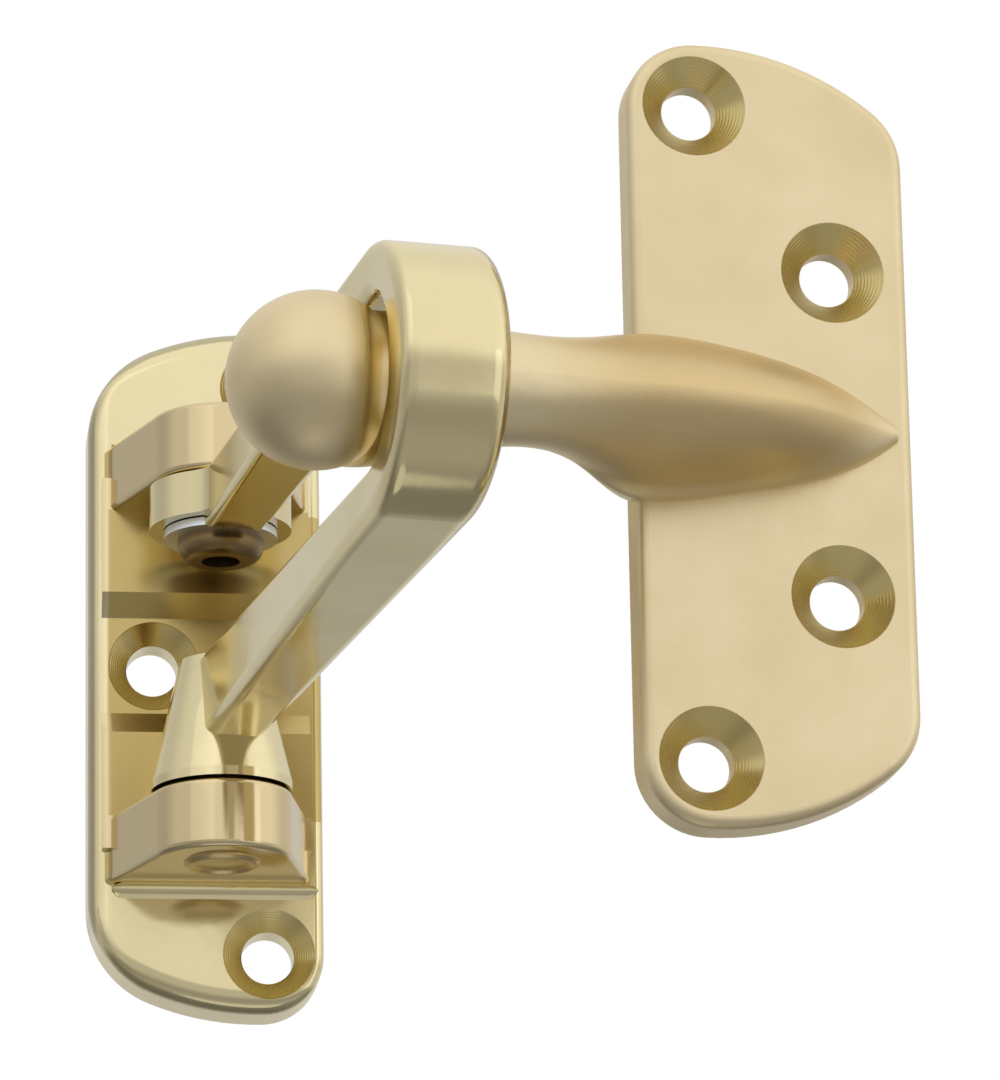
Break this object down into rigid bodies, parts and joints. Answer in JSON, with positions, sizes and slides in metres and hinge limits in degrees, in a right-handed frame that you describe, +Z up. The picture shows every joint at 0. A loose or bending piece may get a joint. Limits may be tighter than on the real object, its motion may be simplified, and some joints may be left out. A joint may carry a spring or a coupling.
{
  "type": "swing bar door guard",
  "caption": "Brass swing bar door guard: a hinged loop on a frame plate catches a ball on a horn that stands out from a door plate.",
  "frame": {"origin": "centre of the frame plate's back face, level with its middle hole", "axes": "+X along the wall towards the ball plate, +Y into the wall, +Z up and along the hinge line"},
  "size_m": [0.0711, 0.0974, 0.0759],
  "materials": {
    "polished_brass": "polished",
    "satin_brass": "satin",
    "rivet_bronze": "satin",
    "zinc": "zinc plated"
  },
  "bodies": {
    "frame": {"frame_plate": "polished_brass", "pivot_rivet_upper": "rivet_bronze", "pivot_rivet_lower": "rivet_bronze", "washer_upper": "zinc"},
    "bar": {"swing_bar": "polished_brass"},
    "door": {"ball_plate": "satin_brass"}
  },
  "joints": [
    {"name": "swing_hinge", "type": "hinge", "parent": "frame", "child": "bar", "pos_m": [0.00085, -0.0148, 0], "axis": [0, 0, 1], "range_deg": [0, 20]},
    {"name": "door_slide", "type": "slide", "parent": "frame", "child": "door", "axis": [0, 1, 0], "range_m": [0, 0.0445]}
  ],
  "couplings": [
    {"joint": "door_slide", "follows": "swing_hinge", "m_per_rad": 0.126}
  ]
}
